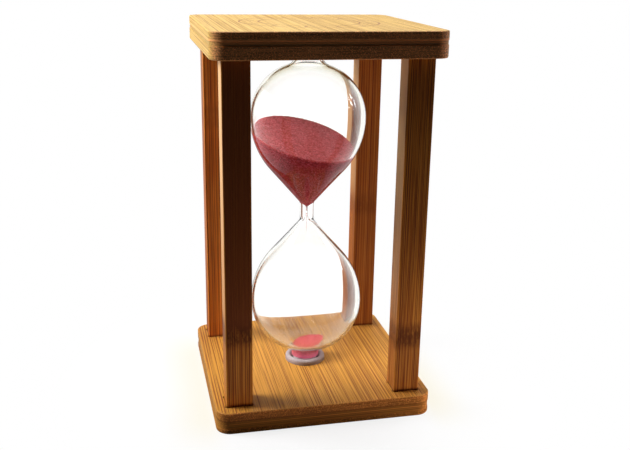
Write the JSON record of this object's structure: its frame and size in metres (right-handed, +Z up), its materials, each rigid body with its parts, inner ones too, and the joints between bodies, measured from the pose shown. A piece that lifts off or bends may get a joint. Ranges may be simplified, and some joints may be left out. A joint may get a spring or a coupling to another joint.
{
  "type": "hourglass",
  "caption": "Square bamboo-framed hourglass: laminated plates joined by mortised corner posts hold a blown glass vessel of pink sand between soft seats.",
  "frame": {"origin": "centre of the base plate's underside", "axes": "+Z up along the glass's axis, +X to the right and +Y away as seen from the front"},
  "size_m": [0.092, 0.092, 0.1618],
  "materials": {
    "bamboo_face": "sanded strip bamboo, clear sealed",
    "bamboo_core": "sanded cross-laid bamboo, darker edge",
    "bamboo_post": "sanded carbonised bamboo, clear sealed",
    "clear_glass": "clear blown glass",
    "white_silicone": "matt white silicone",
    "pink_sand": "fine dyed sand"
  },
  "bodies": {
    "root": {"top_outer_ply": "bamboo_face", "top_core_ply": "bamboo_core", "top_inner_ply": "bamboo_face", "base_inner_ply": "bamboo_face", "base_core_ply": "bamboo_core", "base_outer_ply": "bamboo_face", "post_front_left": "bamboo_post", "post_front_right": "bamboo_post", "post_back_left": "bamboo_post", "post_back_right": "bamboo_post", "glass_vessel": "clear_glass", "upper_stopper": "white_silicone", "lower_stopper": "white_silicone", "upper_seat_ring": "white_silicone", "lower_seat_ring": "white_silicone", "upper_sand": "pink_sand", "lower_sand": "pink_sand"}
  },
  "joints": []
}
